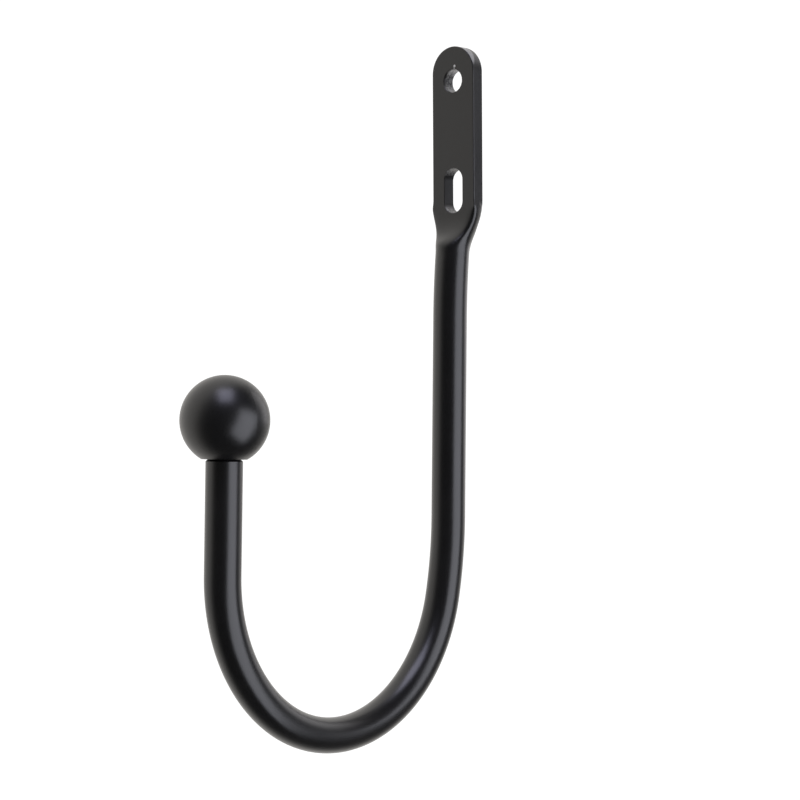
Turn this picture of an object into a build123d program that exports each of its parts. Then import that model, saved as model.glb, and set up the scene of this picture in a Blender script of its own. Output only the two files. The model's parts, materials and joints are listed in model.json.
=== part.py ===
from build123d import *
import math
import os

# A wall hook that holds a curtain back: a round steel bar, pressed flat at the top, with a ball on its free end.
# Millimetres and degrees. The origin is the centre of the screw hole on the wall plane, Y = 0.
# The hook stands out from the wall towards -Y, and +Z is up. "Drop" means below the screw hole's centre.

# Round bar
rod_d = 7.0                # diameter
rod_chamfer = 0.4          # chamfer on the free end

# Flat tang, pressed from the upper end of the bar
tang_w = 11.0              # width across the straight sides
tang_t = 3.0               # thickness, wall to front
tang_tip = 7.15            # screw hole's centre up to the tip
rim_chamfer = 0.35         # broken edge along the front rim

# Screw holes
hole_d = 4.8               # round hole
slot_w = 4.8               # slot, across
slot_len = 9.2             # slot, end to end
slot_drop = 22.8           # slot's centre

# Run-out, where the pressed tang turns into the round bar
scoop_drop = 28.3          # where the press leaves the tang's front face
scoop_r = 5.6              # hollow that the press leaves below it
spread_drop = 37.0         # where the bar's back meets the wall plane and its sides start to spread
spread_r = 16.3            # curve of the sides as they start to spread
spread_angle = 17.3        # slope that the sides reach
spread_len = 3.6           # how far they keep that slope
shoulder_r = 13.0          # curve of the sides as they settle into the tang's straight sides
settle_angle = 6.0         # slope that is left there

# Bent line of the bar, from the run-out to the ball
neck_lean = 5.6            # lean away from the wall at the run-out
neck_len = 12.6            # length over which most of that lean is taken back
leg_lean = 1.25            # lean of the straight rear leg
leg_len = 40.75            # straight rear leg
entry_r = 81.0             # slow bend that leads in to the U
entry_angle = 11.7         # its turn
bend_r = 32.2              # radius of the U, on the bar's axis
front_lean = 1.6           # lean of the front leg, back towards the wall
front_len = 21.75          # straight front leg, up to the ball's seat

# Ball, and the spigot that carries it
ball_d = 16.9              # ball
ball_flat_d = 8.6          # flat under the ball, which seats on the bar's end
spigot_d = 4.0             # turned end of the bar
spigot_len = 8.0           # its length past the seat
spigot_chamfer = 0.5       # lead-in on its tip
spigot_clearance = 0.05    # play around it
hole_chamfer = 0.3         # mouth of the ball's hole
hole_spare = 0.6           # spigot's tip to the bottom of the hole

# How far a cutting body reaches past what it cuts
overcut = 2 * rod_d


def bar_line():
    """Axis of the bar, from the run-out to the ball's seat, in the plane X = 0."""
    neck_turn = neck_lean - leg_lean
    neck_r = neck_len / math.radians(neck_turn)
    bend_turn = 180 + front_lean - leg_lean - entry_angle
    start_angle = math.radians(-90 - neck_lean)
    with BuildLine(Plane.YZ) as line:
        neck = JernArc(
            start=(-rod_d / 2, -spread_drop),
            tangent=(math.cos(start_angle), math.sin(start_angle)),
            radius=neck_r,
            arc_size=neck_turn,
        )
        leg = PolarLine(start=neck @ 1, length=leg_len, angle=-90 - leg_lean)
        entry = JernArc(start=leg @ 1, tangent=leg % 1, radius=entry_r, arc_size=-entry_angle)
        bend = JernArc(start=entry @ 1, tangent=entry % 1, radius=bend_r, arc_size=-bend_turn)
        PolarLine(start=bend @ 1, length=front_len, angle=90 - front_lean)
    return line.wire()


def tang_prism():
    """The tang as seen from the front, with its full round tip, as a deep prism."""
    half_w = tang_w / 2
    with BuildPart() as prism:
        with BuildSketch(Plane.XZ):
            with BuildLine():
                tip = JernArc(start=(0, tang_tip), tangent=(1, 0), radius=half_w, arc_size=-90)
                side = Line(tip @ 1, (half_w, -spread_drop - overcut))
                Line(side @ 1, (0, -spread_drop - overcut))
                mirror(about=Plane.YZ)
            make_face()
        extrude(amount=overcut)
    return prism.part


def spread_bell(bar_top):
    """The bar's round surface as it spreads upwards: a bell on the bar's axis, wide enough to hold the tang."""
    with BuildPart() as bell:
        with BuildSketch(Plane.YZ):
            with BuildLine():
                base = Line((0, 0), (rod_d / 2, 0))
                flare = JernArc(start=base @ 1, tangent=(0, 1), radius=spread_r, arc_size=-spread_angle)
                slope = PolarLine(start=flare @ 1, length=spread_len, angle=90 - spread_angle)
                turn = spread_angle - settle_angle
                settle = JernArc(start=slope @ 1, tangent=slope % 1, radius=shoulder_r, arc_size=turn)
                top = PolarLine(start=settle @ 1, length=spread_drop + tang_tip, angle=90 - settle_angle)
                Polyline(top @ 1, (0, (top @ 1).Y), base @ 0)
            make_face()
        revolve(axis=Axis.Z)
    return bar_top * bell.part


def press_tool():
    """What the press takes away in front: flat over the tang, then curving out of the bar in a hollow."""
    with BuildPart() as tool:
        with BuildSketch(Plane.YZ):
            with BuildLine():
                face = Line((-tang_t, tang_tip + overcut), (-tang_t, -scoop_drop))
                scoop = JernArc(start=face @ 1, tangent=(0, -1), radius=scoop_r, arc_size=-90)
                floor = Line(scoop @ 1, (-tang_t - overcut, (scoop @ 1).Y))
                Polyline(floor @ 1, (-tang_t - overcut, tang_tip + overcut), face @ 0)
            make_face()
        extrude(amount=tang_w, both=True)
    return tool.part


def screw_holes():
    """Round hole and upright slot, right through the tang."""
    with BuildPart() as holes:
        with BuildSketch(Plane.XZ):
            Circle(hole_d / 2)
            with Locations((0, -slot_drop)):
                SlotOverall(slot_len, slot_w, rotation=90)
        extrude(amount=overcut, both=True)
    return holes.part


def pressed_tang():
    """The tang pressed flat in front, down to the hollow, with its front rim broken."""
    tang = tang_prism() - press_tool()
    front_edges = tang.faces().sort_by_distance((0, -tang_t, 0))[0].edges()
    rim = front_edges.filter_by(GeomType.CIRCLE) + front_edges.filter_by(Axis.Z)
    return chamfer(rim, length=rim_chamfer)


def pressed_bar(line):
    """Bar and tang as one forging: the bar spreads into the tang and is pressed flush with the wall."""
    bar_top = Plane(origin=line @ 0, x_dir=(1, 0, 0), z_dir=-(line % 0))
    bar = sweep(bar_top * Circle(rod_d / 2), path=line) - press_tool()
    spread_end = pressed_tang() & spread_bell(bar_top)
    return split(spread_end + bar, bisect_by=Plane.XZ, keep=Keep.TOP)


def hook(line, seat):
    """The whole bar: pressed tang with its screw holes, U bend, and the spigot turned on the free end."""
    bar = pressed_bar(line) - screw_holes()
    end_rim = bar.faces().sort_by_distance(line @ 1)[0].edges()
    bar = chamfer(end_rim, length=rod_chamfer)
    spigot = Cylinder(spigot_d / 2, spigot_len, align=(Align.CENTER, Align.CENTER, Align.MIN))
    spigot = chamfer(spigot.edges().sort_by(Axis.Z)[-1], length=spigot_chamfer)
    return bar + seat * spigot


def ball_finial(seat):
    """Turned ball with a flat underside that seats on the bar's end, and a blind hole for the spigot."""
    ball_r = ball_d / 2
    flat_r = ball_flat_d / 2
    bore_r = spigot_d / 2 + spigot_clearance
    bore_depth = spigot_len + hole_spare
    centre = math.sqrt(ball_r**2 - flat_r**2)
    with BuildPart() as ball:
        with BuildSketch(Plane.XZ):
            with BuildLine():
                inside = Polyline(
                    (0, bore_depth),
                    (bore_r, bore_depth),
                    (bore_r, hole_chamfer),
                    (bore_r + hole_chamfer, 0),
                    (flat_r, 0),
                )
                skin = ThreePointArc(inside @ 1, (ball_r, centre), (0, centre + ball_r))
                Line(skin @ 1, inside @ 0)
            make_face()
        revolve(axis=Axis.Z)
    return seat * ball.part


bar_axis = bar_line()
ball_seat = Plane(origin=bar_axis @ 1, x_dir=(1, 0, 0), z_dir=bar_axis % 1)

os.makedirs("parts", exist_ok=True)
export_step(hook(bar_axis, ball_seat), "parts/hook.step")
export_step(ball_finial(ball_seat), "parts/ball_finial.step")
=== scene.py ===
# %% [markdown]
# # A curtain holdback: one pressed and bent bar, one ball
#
# This hook is fixed to the wall beside a window, and a drawn curtain rests in its U. The real one could be
# made from a round steel bar: pressed flat at one end, punched with two holes, bent, topped with a ball and
# coated black. The measured solids come in first, as a fixed frame in metres. Every piece made here has to
# agree with that frame. Its box is kept now, and the soft boxes are later aimed at its middle.

# %% Load the measured model
import json
import math

import bmesh
import bpy
from mathutils import Matrix, Vector


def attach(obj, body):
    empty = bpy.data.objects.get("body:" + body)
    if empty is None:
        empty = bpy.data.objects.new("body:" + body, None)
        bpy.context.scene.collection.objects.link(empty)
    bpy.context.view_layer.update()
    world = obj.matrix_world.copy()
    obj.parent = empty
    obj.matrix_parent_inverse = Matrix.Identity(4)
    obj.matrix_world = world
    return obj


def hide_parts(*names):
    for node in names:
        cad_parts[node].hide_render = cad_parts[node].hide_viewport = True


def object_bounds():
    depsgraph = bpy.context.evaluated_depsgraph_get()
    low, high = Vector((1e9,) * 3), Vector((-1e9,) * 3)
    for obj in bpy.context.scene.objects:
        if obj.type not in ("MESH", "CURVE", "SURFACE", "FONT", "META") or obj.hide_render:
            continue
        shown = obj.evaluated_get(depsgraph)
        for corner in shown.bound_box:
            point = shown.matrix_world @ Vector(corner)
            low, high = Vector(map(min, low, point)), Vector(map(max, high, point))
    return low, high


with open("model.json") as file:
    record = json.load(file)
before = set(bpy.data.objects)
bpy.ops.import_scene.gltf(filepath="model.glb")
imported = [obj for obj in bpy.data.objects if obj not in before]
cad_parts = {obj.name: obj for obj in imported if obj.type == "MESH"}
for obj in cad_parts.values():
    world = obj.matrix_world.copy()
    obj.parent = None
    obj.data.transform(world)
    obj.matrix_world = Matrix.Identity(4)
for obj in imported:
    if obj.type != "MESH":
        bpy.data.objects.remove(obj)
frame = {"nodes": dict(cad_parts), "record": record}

cad_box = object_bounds()
print("measured box, metres:", [tuple(round(c, 4) for c in corner) for corner in cad_box])

# %% [markdown]
# ## The sizes that the maker would write down
#
# The bar's sizes are set here once, with the wall plane at Y = 0, the hook reaching out towards -Y and the
# round hole's centre at the origin. Blender works in metres, so a size in millimetres is written as a number
# times MM. What the record already states, such as the two holes, is read from the record instead, so that
# the two can't drift apart.

# %% Sizes of the bar, the tang and the holes
MM = 0.001
bar_r = 3.5 * MM
bar_top = -37.0 * MM             # where the bar starts to spread, with its back on the wall plane
end_chamfer = 0.4 * MM           # broken edge under the ball
tang_half = 5.5 * MM             # half of the tang's width
tang_t = 3.0 * MM                # tang's thickness
tip_top = 7.15 * MM              # height of the tang's tip
tip_centre = tip_top - tang_half

mounts = {mount["name"]: mount for mount in frame["record"]["mounts"]}
hole_r = mounts["screw_hole"]["dims"]["r_mm"] * MM
slot_r = mounts["screw_slot"]["dims"]["hole_r_mm"] * MM
slot_straight = mounts["screw_slot"]["dims"]["slot_length_mm"] * MM - 2 * slot_r
slot_z = mounts["screw_slot"]["pos_m"][2]
print("round hole's radius:", hole_r)
print("slot's radius:", slot_r, "straight part:", round(slot_straight, 5))

# %% [markdown]
# ## The bender's list
#
# A bar is bent stage by stage: so far straight on, then so many degrees over so much length. Walking along
# that list gives the bar's centreline. A Bezier curve could be pulled to the same path by eye, but the list
# holds real radii, so the bends come out round. Each ring also carries the bar's radius there, which lets
# one sweep make the round nose, the spread end, the plain bar and the broken edge under the ball.

# %% Walk along the bends
neck_lean = 5.6                  # degrees off plumb at the top of the bar
leg_lean = 1.25                  # degrees off plumb along the rear leg
front_lean = 1.6                 # degrees off plumb along the front leg, back towards the wall
neck_len = 12.6 * MM             # over which most of the neck's lean is taken back
leg_len = 40.75 * MM             # rear leg
entry_r = 81.0 * MM              # slow bend that leads in to the U
entry_turn = 11.7
bend_r = 32.2 * MM               # the U itself
bend_turn = 180 + front_lean - leg_lean - entry_turn
front_len = 21.75 * MM           # front leg
bends = [                        # length, turn in degrees, rings
    (neck_len, leg_lean - neck_lean, 24),
    (leg_len, 0.0, 4),
    (math.radians(entry_turn) * entry_r, entry_turn, 14),
    (math.radians(bend_turn) * bend_r, bend_turn, 110),
    (front_len - end_chamfer, 0.0, 4),
]


def walk_bends():
    """Rings of the bent bar as (distance from wall, height, radius), down to the U and up to the ball."""
    out, up, heading = bar_r, bar_top, math.radians(neck_lean)
    rings = []
    for length, turn, steps in bends:
        half_turn = math.radians(turn) / steps / 2
        chord = length / steps * (math.sin(half_turn) / half_turn if turn else 1)
        for _ in range(steps):
            out += chord * math.sin(heading + half_turn)
            up -= chord * math.cos(heading + half_turn)
            heading += 2 * half_turn
            rings.append((out, up, bar_r))
    out += end_chamfer * math.sin(heading)
    up -= end_chamfer * math.cos(heading)
    rings.append((out, up, bar_r - end_chamfer))
    return rings


bent_rings = walk_bends()
seat_out, seat_up, _ = bent_rings[-1]
print("rings in the bends:", len(bent_rings), "ball's seat:", round(-seat_out, 5), round(seat_up, 5))

# %% [markdown]
# ## The spread end before it is pressed
#
# A smith could spread the end of the bar into a bell with a round nose before it goes under the press. The
# bell's side starts on a curve, keeps a steady slope and settles again. From there up it only has to be
# larger than the tang, because the press trims it. A formula gives the side, so no outline has to be drawn
# by hand. The rings are close together in the run-out, where the press leaves a tongue, and far apart where
# the tang is flat.

# %% Shape of the bell's side
spread_r = 16.3 * MM             # curve on which the side starts
spread_slope = math.radians(17.3)
spread_len = 3.6 * MM            # how far it keeps that slope
spread_straight = spread_len * math.cos(spread_slope)
shoulder_r = 13.0 * MM           # curve on which it settles
settle_slope = math.radians(6.0)


def bell_radius(height):
    """Radius of the spreading bar, at a height along its own axis."""
    curve_height = spread_r * math.sin(spread_slope)
    if height < curve_height:
        return bar_r + spread_r - math.sqrt(spread_r**2 - height**2)
    radius = bar_r + spread_r * (1 - math.cos(spread_slope))
    height -= curve_height
    if height < spread_straight:
        return radius + height * math.tan(spread_slope)
    radius += spread_straight * math.tan(spread_slope)
    height -= spread_straight
    settle_height = shoulder_r * (math.sin(spread_slope) - math.sin(settle_slope))
    if height < settle_height:
        slope = math.asin(math.sin(spread_slope) - height / shoulder_r)
        return radius + shoulder_r * (math.cos(slope) - math.cos(spread_slope))
    radius += shoulder_r * (math.cos(settle_slope) - math.cos(spread_slope))
    return radius + (height - settle_height) * math.tan(settle_slope)


print("bell's radius at the tip's centre, mm:", round(bell_radius(tip_centre - bar_top) / MM, 2))

# %% Rings of the spread end
fine_height = 18.0 * MM          # run-out, with close rings
fine_rings = 180
straight_rings = 16              # flat tang
nose_rings = 30
nose_start = math.radians(89.0)  # just short of the pole, where the sweep's cap closes the nose


def spread_ring(height, radius):
    """One ring on the axis of the leaning bar, at a height above the place where it starts to spread."""
    lean = math.radians(neck_lean)
    return (bar_r - height * math.sin(lean), bar_top + height * math.cos(lean), radius)


def spread_rings():
    """Rings from the round nose down to the top of the plain bar."""
    nose_height = tip_centre - bar_top
    nose_r = bell_radius(nose_height)
    rings = []
    for k in range(nose_rings):
        angle = nose_start * (1 - k / nose_rings)
        rings.append(spread_ring(nose_height + nose_r * math.sin(angle), nose_r * math.cos(angle)))
    for k in range(straight_rings):
        height = nose_height + (fine_height - nose_height) * k / straight_rings
        rings.append(spread_ring(height, bell_radius(height)))
    for k in range(fine_rings + 1):
        height = fine_height * (1 - k / fine_rings)
        rings.append(spread_ring(height, bell_radius(height)))
    return rings


all_rings = spread_rings() + bent_rings
centreline = bpy.data.meshes.new("bar_centreline")
centreline.from_pydata(
    [(0.0, -out, up) for out, up, _ in all_rings],
    [(k, k + 1) for k in range(len(all_rings) - 1)],
    [],
)
ring_radius = centreline.attributes.new("ring_radius", "FLOAT", "POINT")
ring_radius.data.foreach_set("value", [radius for _, _, radius in all_rings])
print("rings in all:", len(all_rings))

# %% [markdown]
# ## Pegs for the two holes
#
# A punched and coated hole has slightly broken edges. A Bevel modifier could break them afterwards, but it
# would have to find the right edges first. Here the peg that cuts the hole is flared where it leaves the
# tang, front and back. The same outline serves the round hole, with no straight part, and the upright slot.

# %% Make the pegs
peg_points = 96
peg_flare = 0.08 * MM            # broken edge of a hole
peg_proud = 0.6 * MM             # how far a peg stands out past the tang


def add_peg(bm, radius, straight, centre_z):
    """One peg across the tang: an outline at four depths, wider outside both faces."""
    depths = [
        (peg_proud, peg_flare + peg_proud),
        (-peg_flare, 0.0),
        (peg_flare - tang_t, 0.0),
        (-tang_t - peg_proud, peg_flare + peg_proud),
    ]
    loops = []
    for depth, flare in depths:
        loop = []
        for k in range(peg_points):
            angle = 2 * math.pi * (k + 0.5) / peg_points
            x = (radius + flare) * math.cos(angle)
            z = (radius + flare) * math.sin(angle) + math.copysign(straight / 2, math.sin(angle))
            loop.append(bm.verts.new((x, depth, centre_z + z)))
        loops.append(loop)
    for upper, lower in zip(loops, loops[1:]):
        for k in range(peg_points):
            after = (k + 1) % peg_points
            bm.faces.new((upper[k], upper[after], lower[after], lower[k]))
    bm.faces.new(loops[0][::-1])
    bm.faces.new(loops[-1])


peg_mesh = bpy.data.meshes.new("hole_pegs")
bm = bmesh.new()
add_peg(bm, hole_r, 0.0, 0.0)
add_peg(bm, slot_r, slot_straight, slot_z)
bm.to_mesh(peg_mesh)
bm.free()
pegs = bpy.data.objects.new("hole_pegs", peg_mesh)
bpy.context.scene.collection.objects.link(pegs)
print("pegs:", len(peg_mesh.polygons), "faces")

# %% [markdown]
# ## Small helpers for node trees
#
# The bar, its coat and the light in the room are all written as sums of nodes. Each sum is one Math node, so
# a few short functions that add a node and feed it keep the trees readable.

# %% Helpers that write sums into a node tree
def sum_writer(tree, kind="ShaderNodeMath"):
    """Returns a function that adds a Math or Vector Math node. Its terms are plain values or other sums."""
    def write(operation, *terms):
        node = tree.nodes.new(kind)
        node.operation = operation
        for socket, term in zip(node.inputs, terms):
            if isinstance(term, bpy.types.NodeSocket):
                tree.links.new(term, socket)
            else:
                socket.default_value = term
        is_number = operation in ("LENGTH", "DOT_PRODUCT")
        return node.outputs["Value"] if is_number else node.outputs[0]
    return write


def add_node(tree, kind, settings=None, **links):
    """Adds a node, with property settings, and feeds its inputs by name (underscores stand for spaces)."""
    node = tree.nodes.new(kind)
    for name, value in (settings or {}).items():
        setattr(node, name, value)
    for name, value in links.items():
        socket = node.inputs[name.replace("_", " ")]
        if isinstance(value, bpy.types.NodeSocket):
            tree.links.new(value, socket)
        else:
            socket.default_value = value
    return node


def fade(tree, value, start, end):
    """Smooth step: 0 at the start, 1 at the end. Start and end are numbers or other sums."""
    smooth = {"interpolation_type": "SMOOTHSTEP"}
    step = add_node(tree, "ShaderNodeMapRange", smooth, Value=value, From_Min=start, From_Max=end)
    return step.outputs[0]


def distance(tree, across, along):
    """Length of the straight line over two sides at right angles."""
    s = sum_writer(tree)
    return s("SQRT", s("ADD", s("MULTIPLY", across, across), s("MULTIPLY", along, along)))


def axes_of(tree, place):
    """X, Y and Z of a place."""
    return add_node(tree, "ShaderNodeSeparateXYZ", Vector=place).outputs


# %% [markdown]
# ## Sweep, press and punch with Geometry Nodes
#
# The whole bar follows one rule, so a node tree makes it. First a circle is swept along the centreline. Then
# every point is pressed: it is moved to the nearest place inside the dies, which are a flat wall behind, a
# flat face with a hollow below it in front, and the tang's outline at the sides. Moving points to a block
# that is smaller by the rim's radius, and back out by that radius, rounds the rims as well.
#
# A forging is softer than its dies. On the real one the front edge gets rounder down the right-hand side of
# the run-out, both sides swell a little just below the slot, and the tongue's lip is rolled over. The first
# two are more sums, and the lip is softened with Blur Attribute. Last, the pegs punch the holes. The same
# shape could be sculpted, but then none of its sizes could be read or changed afterwards.

# %% Sizes of the dies
press_sizes = {
    "Tang half width": tang_half,
    "Tang thickness": tang_t,
    "Tip centre height": tip_centre,
    "Rim radius": 0.18 * MM,
    "Round top": -26.2 * MM,     # where the right-hand front edge starts to get rounder
    "Round bottom": -32.4 * MM,
    "Round radius": 2.6 * MM,
    "Hollow top": -28.3 * MM,    # where the press starts to leave the bar
    "Hollow radius": 5.6 * MM,
    "Press bottom": -40.0 * MM,  # lower end of the dies
    "Swell": 0.58 * MM,          # how far the sides go out, at the tang's full width
    "Swell top": -24.4 * MM,
    "Swell middle": -28.9 * MM,
    "Swell bottom": -33.4 * MM,
    "Swell depth": 1.5 * MM,     # distance from the wall at which the swell is full
    "Roll top": -26.0 * MM,      # the lip is rolled between these heights
    "Roll middle": -30.0 * MM,
    "Roll bottom": -37.0 * MM,
    "Roll start": 0.2 * MM,      # distance from the wall at which the roll starts
    "Roll end": 1.4 * MM,        # and at which it is full
    "Roll on the left": 0.4,     # share of the roll on the left-hand side
}
hair = 1e-7                      # keeps a division away from nought
crease_angle = math.radians(28)  # edges sharper than this stay sharp
print("sizes of the dies:", len(press_sizes))


# %% Sweep and press
def sweep_bar(tree, given):
    """A circle swept along the centreline, scaled by each ring's radius."""
    radius = add_node(tree, "GeometryNodeInputNamedAttribute", {"data_type": "FLOAT"}, Name="ring_radius")
    path = add_node(tree, "GeometryNodeMeshToCurve", Mesh=given["Centreline"])
    points = given["Points around"]
    circle = add_node(tree, "GeometryNodeCurvePrimitiveCircle", Resolution=points, Radius=1.0)
    swept = add_node(
        tree, "GeometryNodeCurveToMesh", Curve=path.outputs[0], Profile_Curve=circle.outputs[0],
        Scale=radius.outputs[0], Fill_Caps=True,
    )
    return swept.outputs[0]


def die_face(tree, given, z):
    """Distance from the wall to the front die: flat over the tang, then a quarter round hollow."""
    s = sum_writer(tree)
    hollow_r = given["Hollow radius"]
    below = s("MINIMUM", s("MAXIMUM", s("SUBTRACT", given["Hollow top"], z), 0.0), hollow_r)
    rise = s("SQRT", s("SUBTRACT", s("MULTIPLY", hollow_r, hollow_r), s("MULTIPLY", below, below)))
    return s("SUBTRACT", s("ADD", given["Tang thickness"], hollow_r), rise)


def pressed_place(tree, given, point):
    """Where the dies leave a point: nearest place in a smaller block, then out by the rim's radius."""
    s = sum_writer(tree)
    v = sum_writer(tree, "ShaderNodeVectorMath")
    x, y, z = axes_of(tree, point)
    out = s("MULTIPLY", y, -1.0)
    small_r = given["Rim radius"]
    on_right = s("GREATER_THAN", x, 0.0)
    rounder = s("MULTIPLY", on_right, fade(tree, z, given["Round top"], given["Round bottom"]))
    rim = s("MULTIPLY_ADD", rounder, s("SUBTRACT", given["Round radius"], small_r), small_r)

    above = s("MAXIMUM", s("SUBTRACT", z, given["Tip centre height"]), 0.0)
    inner_half = s("SUBTRACT", given["Tang half width"], rim)
    reach = s("MAXIMUM", distance(tree, x, above), hair)
    shrink = s("MINIMUM", s("DIVIDE", inner_half, reach), 1.0)

    inner_front = s("SUBTRACT", die_face(tree, given, z), rim)
    core_x = s("MULTIPLY", x, shrink)
    core_out = s("MINIMUM", s("MAXIMUM", out, small_r), inner_front)
    core_y = s("MULTIPLY", core_out, -1.0)
    core_z = s("ADD", s("SUBTRACT", z, above), s("MULTIPLY", above, shrink))
    core = add_node(tree, "ShaderNodeCombineXYZ", X=core_x, Y=core_y, Z=core_z).outputs[0]
    away = v("SUBTRACT", point, core)
    kept = s("MINIMUM", s("DIVIDE", rim, s("MAXIMUM", v("LENGTH", away), hair)), 1.0)
    return v("MULTIPLY_ADD", away, kept, core)


# %% Swell, roll and punch
def swollen_place(tree, given, pressed):
    """The pressed place, squeezed out at the tang's sides and kept in front of the wall."""
    s = sum_writer(tree)
    x, y, z = axes_of(tree, pressed)
    swell = s("MULTIPLY", x, s("DIVIDE", given["Swell"], given["Tang half width"]))
    for start in ("Swell top", "Swell bottom"):
        swell = s("MULTIPLY", swell, fade(tree, z, given[start], given["Swell middle"]))
    swell = s("MULTIPLY", swell, fade(tree, s("MULTIPLY", y, -1.0), 0.0, given["Swell depth"]))
    wider = s("ADD", x, swell)
    return add_node(tree, "ShaderNodeCombineXYZ", X=wider, Y=s("MINIMUM", y, 0.0), Z=z).outputs[0]


def rolled_place(tree, given):
    """Every point's place, blurred along the lip of the tongue."""
    s = sum_writer(tree)
    place = tree.nodes.new("GeometryNodeInputPosition").outputs[0]
    x, y, z = axes_of(tree, place)
    limits = (
        (z, "Roll top", "Roll middle"),
        (z, "Roll bottom", "Roll middle"),
        (s("MULTIPLY", y, -1.0), "Roll start", "Roll end"),
    )
    weight = s("MAXIMUM", s("GREATER_THAN", x, 0.0), given["Roll on the left"])
    for measure, start, end in limits:
        weight = s("MULTIPLY", weight, fade(tree, measure, given[start], given[end]))
    blurred = add_node(
        tree, "GeometryNodeBlurAttribute", {"data_type": "FLOAT_VECTOR"},
        Value=place, Iterations=given["Roll rounds"], Weight=weight,
    )
    return blurred.outputs[0]


def punch_holes(tree, given, bar):
    """The bar with its holes, shaded smooth between the sharp edges."""
    s = sum_writer(tree)
    peg = add_node(tree, "GeometryNodeObjectInfo", Object=given["Hole pegs"])
    punched = add_node(tree, "GeometryNodeMeshBoolean", {"operation": "DIFFERENCE", "solver": "MANIFOLD"})
    tree.links.new(bar, punched.inputs["Mesh 1"])
    tree.links.new(peg.outputs["Geometry"], punched.inputs["Mesh 2"])
    smooth = add_node(tree, "GeometryNodeSetShadeSmooth", {"domain": "FACE"}, Geometry=punched.outputs[0])
    sharp = s("GREATER_THAN", tree.nodes.new("GeometryNodeInputMeshEdgeAngle").outputs[0], crease_angle)
    creased = add_node(
        tree, "GeometryNodeSetShadeSmooth", {"domain": "EDGE"}, Geometry=smooth.outputs[0],
        Selection=sharp, Shade_Smooth=False,
    )
    return creased.outputs[0]


# %% Put the tree together
def press_tree():
    """Sweeps the bar, presses its end between dies, rolls the lip and punches the holes."""
    tree = bpy.data.node_groups.new("press_and_punch", "GeometryNodeTree")
    sockets = {"Centreline": "Geometry", "Points around": "Int", "Roll rounds": "Int"}
    sockets.update({name: "Float" for name in press_sizes})
    sockets.update({"Hole pegs": "Object", "Coat": "Material"})
    for name, kind in sockets.items():
        tree.interface.new_socket(name, in_out="INPUT", socket_type="NodeSocket" + kind)
    tree.interface.new_socket("Bar", in_out="OUTPUT", socket_type="NodeSocketGeometry")
    given = tree.nodes.new("NodeGroupInput").outputs
    s = sum_writer(tree)

    swept = sweep_bar(tree, given)
    point = tree.nodes.new("GeometryNodeInputPosition").outputs[0]
    in_press = s("GREATER_THAN", axes_of(tree, point)["Z"], given["Press bottom"])
    place = swollen_place(tree, given, pressed_place(tree, given, point))
    forged = add_node(tree, "GeometryNodeSetPosition", Geometry=swept, Selection=in_press, Position=place)
    rolled = rolled_place(tree, given)
    soft = add_node(tree, "GeometryNodeSetPosition", Geometry=forged.outputs[0], Position=rolled)
    punched = punch_holes(tree, given, soft.outputs[0])
    solid = add_node(tree, "GeometryNodeRealizeInstances", Geometry=punched)
    coated = add_node(tree, "GeometryNodeSetMaterial", Geometry=solid.outputs[0], Material=given["Coat"])
    result = tree.nodes.new("NodeGroupOutput")
    tree.links.new(coated.outputs[0], result.inputs["Bar"])
    return tree


bar_tree = press_tree()
print("node tree:", bar_tree.name, len(bar_tree.nodes), "nodes")

# %% [markdown]
# ## Satin black coat
#
# The finish could be a baked powder coat: nearly black, with a soft sheen and a very fine orange peel. The
# colour stays dark and the sheen does the work, so roughness and bump carry most of the detail. Grey metal
# shows through where the coat is thin on the walls of the holes, and at a small chip with a thin stalk just
# over the round hole. A pale band on the edge of the tip is partly a scuff and partly a painted highlight:
# the glint that the light puts there, painted in and stronger higher up. A texture could be painted for
# these marks. But they sit at fixed places on one piece, so Object coordinates and a few distances are
# enough, and the marks stay sharp up close.

# %% Sizes of the bare places, in millimetres
tang_front = tang_t / MM
speck_noise = {"Scale": 2600.0, "Detail": 3.0, "Roughness": 0.7}
speck_range = (0.36, 0.66)       # part of the noise that goes from no speck to a full one
wall_fade = (0.16, 0.06)         # outside a hole's wall: where its bare look starts, and where it is full
hole_edge = (0.3, 0.7)           # behind the tang's front: the hole's edge stays black, then gets bare
hole_specks = 0.4                # bare share in the specks
hole_ends = 0.5                  # and at the hole's top and bottom
slot_past = (0.6, 1.6)           # past the slot's straight part: where its ends get bare
slot_specks = 0.25
slot_bare = 0.08
chip_x, chip_z = 0.52, 3.02
chip_fade = (0.36, 0.16)         # from its middle: the chip's edge
chip_depth = (0.2, 0.1)          # behind the tang's front
stalk_x = 0.42
stalk_fade = (0.3, 0.05)         # from its middle line
stalk_top = (3.12, 2.92)
stalk_bottom = (1.9, 2.1)
stalk_share = 0.4
# Painted highlight: the sizes below draw a pale band on the tip's edge, partly a scuff, partly the light's
# glint painted in.
scuff_glint_slope = 0.16               # how fast the scuff spreads over the thickness, per millimetre of rise
scuff_glint_edge = (0.9, 1.14)         # share of the thickness, with the rise counted in
scuff_glint_rise = (0.3, 2.6)          # above the tip's centre
scuff_glint_skin = (0.3, 0.1)          # under the tip's edge
scuff_glint_rim = (0.05, 0.2)          # behind the tang's front
scuff_glint_share = 0.36
print("chip's place, mm:", chip_x, chip_z)


# %% Where grey metal shows through, and where a highlight is painted on the tip
def bare_hole(tree, specks, x, out, z):
    """Round hole's wall: specked, barer at its top and bottom, and black along its front edge."""
    s = sum_writer(tree)
    wall = fade(tree, distance(tree, x, z), *[hole_r / MM + d for d in wall_fade])
    ends = s("POWER", s("DIVIDE", s("ABSOLUTE", z), hole_r / MM), 2.0)
    wall = s("MULTIPLY", wall, fade(tree, out, *[tang_front - d for d in hole_edge]))
    return s("MULTIPLY", wall, s("MULTIPLY_ADD", specks, hole_specks, s("MULTIPLY", ends, hole_ends)))


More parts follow.
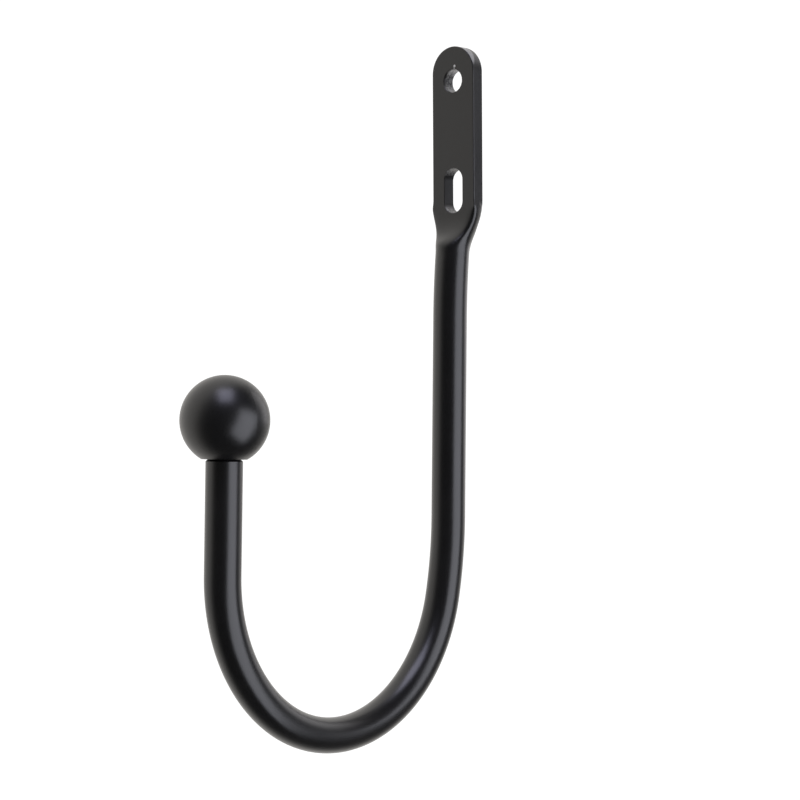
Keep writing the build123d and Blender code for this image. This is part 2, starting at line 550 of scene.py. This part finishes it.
def bare_slot(tree, specks, x, z):
    """Round ends of the slot's wall."""
    s = sum_writer(tree)
    from_middle = s("ABSOLUTE", s("SUBTRACT", z, slot_z / MM))
    past = s("MAXIMUM", s("SUBTRACT", from_middle, slot_straight / 2 / MM), 0.0)
    wall = fade(tree, distance(tree, x, past), *[slot_r / MM + d for d in wall_fade])
    pale_share = s("MULTIPLY_ADD", specks, slot_specks, slot_bare)
    return s("MULTIPLY", wall, s("MULTIPLY", fade(tree, past, *slot_past), pale_share))


def bare_chip(tree, x, out, z):
    """Chip on the tang's front over the round hole, with a thin stalk down to the hole."""
    s = sum_writer(tree)
    on_front = fade(tree, out, *[tang_front - d for d in chip_depth])
    from_chip = distance(tree, s("SUBTRACT", x, chip_x), s("SUBTRACT", z, chip_z))
    across = fade(tree, s("ABSOLUTE", s("SUBTRACT", x, stalk_x)), *stalk_fade)
    along = s("MULTIPLY", fade(tree, z, *stalk_top), fade(tree, z, *stalk_bottom))
    stalk = s("MULTIPLY", s("MULTIPLY", across, stalk_share), along)
    return s("MULTIPLY", on_front, s("MAXIMUM", fade(tree, from_chip, *chip_fade), stalk))


def scuff_and_glint_on_tip(tree, x, out, z):
    """Scuff and painted highlight on the tip's edge: close to the front low down, and over more of the
    thickness higher up.
    """
    s = sum_writer(tree)
    rise = s("SUBTRACT", z, tip_centre / MM)
    spread = s("MULTIPLY_ADD", rise, scuff_glint_slope, s("DIVIDE", out, tang_front))
    scuff_and_glint = s("MULTIPLY", fade(tree, spread, *scuff_glint_edge), fade(tree, rise, *scuff_glint_rise))
    on_edge = fade(tree, distance(tree, x, rise), *[tang_half / MM - d for d in scuff_glint_skin])
    behind_rim = fade(tree, out, *[tang_front - d for d in scuff_glint_rim])
    return s("MULTIPLY", s("MULTIPLY", scuff_and_glint, scuff_glint_share), s("MULTIPLY", on_edge, behind_rim))


def bare_and_glint_share(tree, place):
    """Share of grey metal that shows through, all over the hook, with the painted highlight on the tip's
    edge.
    """
    s = sum_writer(tree)
    axes = axes_of(tree, place)
    x = s("DIVIDE", axes["X"], MM)
    out = s("DIVIDE", axes["Y"], -MM)
    z = s("DIVIDE", axes["Z"], MM)
    grain = add_node(tree, "ShaderNodeTexNoise", Vector=place, **speck_noise)
    specks = fade(tree, grain.outputs[0], *speck_range)
    holes = s("MAXIMUM", bare_hole(tree, specks, x, out, z), bare_slot(tree, specks, x, z))
    return s("MAXIMUM", holes, s("MAXIMUM", bare_chip(tree, x, out, z), scuff_and_glint_on_tip(tree, x, out, z)))


# %% The coat's material
coat_tones = {                   # share of bare metal, and the colour there
    0.03: (0.0050, 0.0050, 0.0053),
    0.07: (0.0065, 0.0064, 0.0064),
    # The pale grey of bare metal, also used for the painted highlight on the tip's edge.
    1.0: (0.6, 0.6, 0.58),
}
hook_roughness = 0.27
ball_roughness = 0.31
bare_roughness = 0.3             # added where the metal is bare
coat_ior = 1.5
peel_noise = {"Scale": 1400.0, "Detail": 2.0, "Roughness": 0.5}
peel_strength = 0.25
peel_height = 0.02 * MM
cloud_noise = {"Scale": 120.0, "Detail": 3.0, "Roughness": 0.6}
cloud_tone = 0.1                 # how far the clouds move the colour
cloud_roughness = 0.06           # and the roughness


def fill_ramp(ramp, tones):
    """Sets a Color Ramp's stops from places and colours."""
    stops = ramp.color_ramp.elements
    places = sorted(tones)
    stops[0].position, stops[1].position = places[0], places[-1]
    for place in places[1:-1]:
        stops.new(place)
    for stop, place in zip(stops, places):
        stop.color = (*tones[place], 1)


def coat_material(name, roughness, worn_and_glint):
    """Black coat. Where the flag is true, grey shows on the holes' walls and a chip, and on the tip's edge
    as a scuff and painted highlight.
    """
    material = bpy.data.materials.new(name)
    material.use_nodes = True
    tree = material.node_tree
    shader = tree.nodes["Principled BSDF"]
    place = tree.nodes.new("ShaderNodeTexCoord").outputs["Object"]
    s = sum_writer(tree)

    peel = add_node(tree, "ShaderNodeTexNoise", Vector=place, **peel_noise)
    cloud = add_node(tree, "ShaderNodeTexNoise", Vector=place, **cloud_noise)
    bump = add_node(
        tree, "ShaderNodeBump", Height=peel.outputs[0], Strength=peel_strength, Distance=peel_height,
    )
    tone = s("MULTIPLY", cloud.outputs[0], cloud_tone)
    sheen = s("MULTIPLY_ADD", cloud.outputs[0], cloud_roughness, roughness)
    if worn_and_glint:
        # This share also holds the painted highlight on the tip's edge, besides the bare metal.
        pale_share = bare_and_glint_share(tree, place)
        tone = s("MAXIMUM", tone, pale_share)
        sheen = s("MULTIPLY_ADD", pale_share, bare_roughness, sheen)
    ramp = add_node(tree, "ShaderNodeValToRGB", Fac=tone)
    fill_ramp(ramp, coat_tones)
    tree.links.new(ramp.outputs[0], shader.inputs["Base Color"])
    tree.links.new(sheen, shader.inputs["Roughness"])
    tree.links.new(bump.outputs[0], shader.inputs["Normal"])
    shader.inputs["IOR"].default_value = coat_ior
    return material


hook_coat = coat_material("hook_coat", hook_roughness, True)
ball_coat = coat_material("ball_coat", ball_roughness, False)
print("materials:", hook_coat.name, ball_coat.name)

# %% [markdown]
# ## The finished bar
#
# The tree's inputs are set by their identifiers before the tree first runs. The modifier could stay on the
# object, but a plain mesh is easier to hand on, so the result is taken off as one, and the centreline and
# pegs are cleared away. What is left is one piece that stands for the measured hook.

# %% Run the tree and keep its mesh
press_inputs = dict(press_sizes)
press_inputs["Points around"] = 168
press_inputs["Roll rounds"] = 260    # passes of the blur along the lip
press_inputs["Hole pegs"] = pegs
press_inputs["Coat"] = hook_coat

maker = bpy.data.objects.new("bar_maker", centreline)
bpy.context.scene.collection.objects.link(maker)
modifier = maker.modifiers.new("press_and_punch", "NODES")
modifier.node_group = bar_tree
for item in bar_tree.interface.items_tree:
    if item.item_type == "SOCKET" and item.in_out == "INPUT" and item.name in press_inputs:
        modifier[item.identifier] = press_inputs[item.name]
shaped = maker.evaluated_get(bpy.context.evaluated_depsgraph_get())
bar_mesh = bpy.data.meshes.new_from_object(shaped)
bar_mesh.name = "pressed_bar"
pressed_bar = bpy.data.objects.new("pressed_bar", bar_mesh)
bpy.context.scene.collection.objects.link(pressed_bar)
maker.modifiers.remove(modifier)
for spare in (maker, pegs):
    bpy.data.objects.remove(spare)
bar_mesh.materials.clear()
bar_mesh.materials.append(hook_coat)
bar_mesh.calc_loop_triangles()
print("pressed bar:", len(bar_mesh.loop_triangles), "triangles")

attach(pressed_bar, "root")
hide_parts("hook")

# %% [markdown]
# ## The ball
#
# The ball has a small flat that seats on the bar's end, and could be turned on a lathe. It could be drawn
# again as a sphere with a cut, but the measured solid already has that shape, so it stays and only gets its
# finish. Its sheen is a little softer than the bar's.

# %% Coat the ball
ball = frame["nodes"]["ball_finial"]
for slot in ball.material_slots:
    slot.material = ball_coat
print("ball:", len(ball.data.polygons), "faces")

# %% [markdown]
# ## Studio: camera, light and floor
#
# The camera stands where the photograph seems to be taken from: level with the middle of the hook, about 41
# degrees round from the front and nearly half a metre away. A camera can be placed by eye, but these values
# were fitted to the bar's outline in the photograph, so the two pictures can be laid over each other.

# %% Camera
view_round = math.radians(40.932)
view_up = math.radians(0.329)
view_roll = math.radians(-0.303)
view_distance = 0.478652
view_shift = (-0.0129, -0.066346)    # metres right and up, from the round hole's centre
view_lens = 103.184              # millimetres, on a sensor of this width
view_sensor = 36.0
view_clip = 0.01
level = Vector((math.cos(view_round), math.sin(view_round), 0.0))
outward = Vector((math.sin(view_round), -math.cos(view_round), 0.0))
back = math.cos(view_up) * outward + math.sin(view_up) * Vector((0, 0, 1))
upright = back.cross(level)
right = math.cos(view_roll) * level + math.sin(view_roll) * upright
up = math.cos(view_roll) * upright - math.sin(view_roll) * level

camera_data = bpy.data.cameras.new("camera")
camera_data.sensor_width = view_sensor
camera_data.lens = view_lens
camera_data.clip_start = view_clip
camera = bpy.data.objects.new("camera", camera_data)
stand = back * view_distance + right * view_shift[0] + up * view_shift[1]
camera.matrix_world = Matrix.Translation(stand) @ Matrix((right, up, back)).transposed().to_4x4()
bpy.context.scene.collection.objects.link(camera)
bpy.context.scene.camera = camera
print("camera at", tuple(round(c, 4) for c in camera.matrix_world.translation))

# %% [markdown]
# Black satin shows the studio more than itself, so the room is built from what the coat reflects. It is
# dark around the camera and a little to its right, and gets white and slightly warm away from there, with
# one more dark corner high on the right. The camera itself sees a plain white backdrop. A picture of a
# studio could light the part as well, but a ramp over directions is tuned with a few numbers.

# %% Room
dark_side = (29, -14)            # degrees right of the camera, degrees up
room_levels = {                  # place from 0 at the dark side to 1 opposite, and the brightness there
    0.40: 0.05,
    0.51: 0.30,
    0.56: 0.55,
    0.69: 1.10,
    1.0: 1.12,
}
room_tint = (1.03, 1.0, 0.96)
dark_corner = (90, 52)           # degrees right of the camera, degrees up
corner_spread = (0.8, 1.0)       # cosines of the angles at which the corner starts and is darkest
corner_level = 0.1
backdrop_level = 1.1


def toward(round_deg, up_deg):
    """Direction by degrees to the right of the camera and degrees up, as seen from the object."""
    a, e = math.radians(round_deg), math.radians(up_deg)
    flat = back * math.cos(a) + right * math.sin(a)
    return (flat * math.cos(e) + Vector((0, 0, 1)) * math.sin(e)).normalized()


def light_room(world):
    """Room as the coat reflects it, and a white backdrop for the camera."""
    world.use_nodes = True
    tree = world.node_tree
    s = sum_writer(tree)
    v = sum_writer(tree, "ShaderNodeVectorMath")
    look = tree.nodes.new("ShaderNodeTexCoord").outputs["Generated"]
    share = s("MULTIPLY_ADD", v("DOT_PRODUCT", look, toward(*dark_side)), -0.5, 0.5)
    ramp = add_node(tree, "ShaderNodeValToRGB", Fac=share)
    fill_ramp(ramp, {place: [level * c for c in room_tint] for place, level in room_levels.items()})
    corner = add_node(
        tree, "ShaderNodeMapRange", Value=v("DOT_PRODUCT", look, toward(*dark_corner)),
        From_Min=corner_spread[0], From_Max=corner_spread[1], To_Min=1.0, To_Max=corner_level,
    )
    reflected = tree.nodes["Background"]
    tree.links.new(ramp.outputs[0], reflected.inputs["Color"])
    tree.links.new(corner.outputs[0], reflected.inputs["Strength"])
    backdrop = add_node(tree, "ShaderNodeBackground", Color=(1.0, 1.0, 1.0, 1.0), Strength=backdrop_level)
    seen = tree.nodes.new("ShaderNodeLightPath").outputs["Is Camera Ray"]
    mixed = add_node(tree, "ShaderNodeMixShader", Fac=seen)
    tree.links.new(reflected.outputs[0], mixed.inputs[1])
    tree.links.new(backdrop.outputs[0], mixed.inputs[2])
    tree.links.new(mixed.outputs[0], tree.nodes["World Output"].inputs["Surface"])


room = bpy.data.worlds.new("room")
light_room(room)
bpy.context.scene.world = room
bpy.context.scene.view_settings.view_transform = "Standard"
print("room:", len(room.node_tree.nodes), "nodes")

# %% [markdown]
# Three soft boxes stand in the room: a large slanted one on the right, which draws the long soft light down
# the bar, one overhead, and a weak panel behind on the right. Glowing planes could do the same, but area
# lights need no mesh, and the camera doesn't see them.

# %% Soft boxes
box_distance = 2.5               # metres from the middle of the hook
soft_boxes = [                   # name, degrees right and up, metres wide and high, radiance, colour, slant
    ("right_soft_box", (58.5, -12), (2.55, 3.4), 3.15, (0.95, 0.965, 1.06), 22),
    ("overhead_soft_box", (8, 67), (1.35, 1.7), 4.2, (0.92, 0.92, 1.17), 0),
    ("back_panel", (130, 18), (1.7, 2.0), 0.95, (1.0, 0.98, 1.04), 0),
]


def soft_box(name, place, size, radiance, colour, slant):
    """A rectangular soft light that faces the hook, leaning by so many degrees."""
    light = bpy.data.lights.new(name, "AREA")
    light.shape = "RECTANGLE"
    light.size, light.size_y = size
    light.energy = math.pi * size[0] * size[1] * radiance
    light.color = colour
    lamp = bpy.data.objects.new(name, light)
    lamp.visible_camera = False
    direction = toward(*place)
    middle = (cad_box[0] + cad_box[1]) / 2
    aim = direction.to_track_quat("Z", "Y").to_matrix().to_4x4()
    lean = Matrix.Rotation(-math.radians(slant), 4, "Z")
    lamp.matrix_world = Matrix.Translation(middle + direction * box_distance) @ aim @ lean
    bpy.context.scene.collection.objects.link(lamp)


for box in soft_boxes:
    soft_box(*box)

# %% [markdown]
# The hook would hang on a wall, so the pale floor lies well below it, out of the main view. A larger plane
# could run up into a curved backdrop, but the backdrop is white already. The floor is kept out of the coat's
# reflections, which the room and the soft boxes should give.

# %% Floor
floor_r = 0.6
floor_middle = (0, -0.04, -0.30)
floor_points = 96
floor_colour = (0.9, 0.9, 0.9, 1)
floor_roughness = 0.9
floor_mesh = bpy.data.meshes.new("floor")
bm = bmesh.new()
bmesh.ops.create_circle(bm, cap_ends=True, segments=floor_points, radius=floor_r)
bmesh.ops.translate(bm, vec=floor_middle, verts=bm.verts)
bm.to_mesh(floor_mesh)
bm.free()
floor = bpy.data.objects.new("floor", floor_mesh)
bpy.context.scene.collection.objects.link(floor)
floor_paint = bpy.data.materials.new("pale_floor")
floor_paint.use_nodes = True
floor_shader = floor_paint.node_tree.nodes["Principled BSDF"]
floor_shader.inputs["Base Color"].default_value = floor_colour
floor_shader.inputs["Roughness"].default_value = floor_roughness
floor_mesh.materials.append(floor_paint)
floor.visible_glossy = False
print("floor's radius, metres:", floor_r)
